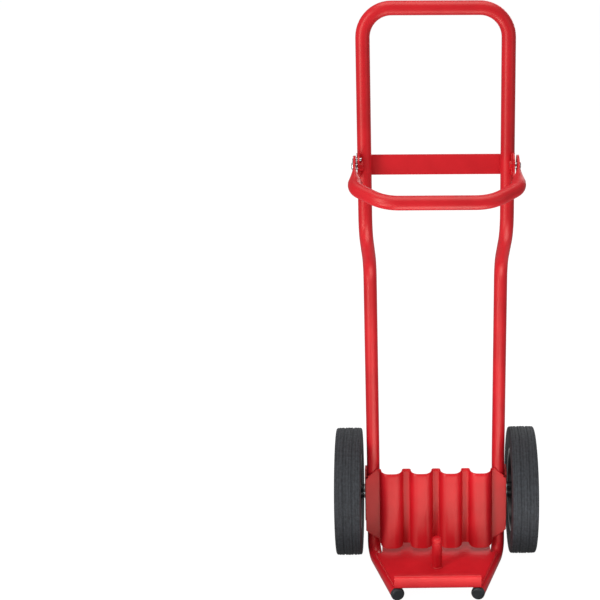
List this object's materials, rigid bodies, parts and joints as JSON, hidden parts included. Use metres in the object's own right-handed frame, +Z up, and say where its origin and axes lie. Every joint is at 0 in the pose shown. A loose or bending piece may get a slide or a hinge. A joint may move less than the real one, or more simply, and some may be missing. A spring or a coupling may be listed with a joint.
{
  "type": "hand truck",
  "caption": "Two-wheeled hand truck of bent red steel tube for a breaker hammer, with a swinging retaining bar, a corrugated chisel holder and a toe plate with a locating pin.",
  "frame": {"origin": "on the floor, in the middle of the bounding box in plan", "axes": "+Z up, -Y the front, where the toe plate and the retaining bar point, X along the axle"},
  "size_m": [0.39, 0.3774, 1.0895],
  "materials": {
    "red_powder_coat": "semi-gloss red powder coat on steel",
    "solid_rubber": "matt moulded solid rubber",
    "rim_steel": "black enamel on pressed steel, with a bare bright lip",
    "zinc_plate": "bright zinc plate",
    "black_plastic": "matt black moulded plastic"
  },
  "bodies": {
    "frame": {"frame_tube": "red_powder_coat", "cross_strap": "red_powder_coat", "axle_tube": "red_powder_coat", "toe_plate": "red_powder_coat", "tool_pin": "red_powder_coat", "chisel_holder": "red_powder_coat", "axle": "zinc_plate", "inner_axle_washers": "zinc_plate", "outer_axle_washers": "zinc_plate", "axle_split_pins": "zinc_plate", "pivot_bolts": "zinc_plate", "pivot_spacers": "zinc_plate", "pivot_nuts": "red_powder_coat", "stop_pin": "zinc_plate", "spring_clip": "zinc_plate", "left_pivot_bracket": "red_powder_coat", "right_pivot_bracket": "red_powder_coat", "left_axle_cheek": "red_powder_coat", "right_axle_cheek": "red_powder_coat", "left_foot_cap": "black_plastic", "right_foot_cap": "black_plastic"},
    "retaining_bar": {"retaining_bar": "red_powder_coat"},
    "left_wheel": {"left_tyre": "solid_rubber", "left_rim_outer_half": "rim_steel", "left_rim_inner_half": "rim_steel", "left_hub": "rim_steel", "left_hub_bushes": "black_plastic", "left_rim_bolts": "zinc_plate", "left_rim_nuts": "zinc_plate"},
    "right_wheel": {"right_tyre": "solid_rubber", "right_rim_outer_half": "rim_steel", "right_rim_inner_half": "rim_steel", "right_hub": "rim_steel", "right_hub_bushes": "black_plastic", "right_rim_bolts": "zinc_plate", "right_rim_nuts": "zinc_plate"}
  },
  "joints": [
    {"name": "left_wheel_spin", "type": "hinge", "parent": "frame", "child": "left_wheel", "pos_m": [-0.17, 0.06375, 0.125], "axis": [1, 0, 0], "continuous": true},
    {"name": "right_wheel_spin", "type": "hinge", "parent": "frame", "child": "right_wheel", "pos_m": [0.17, 0.06375, 0.125], "axis": [1, 0, 0], "continuous": true},
    {"name": "retaining_bar_swing", "type": "hinge", "parent": "frame", "child": "retaining_bar", "pos_m": [0, -0.05625, 0.808], "axis": [-1, 0, 0], "range_deg": [0, 100]}
  ]
}
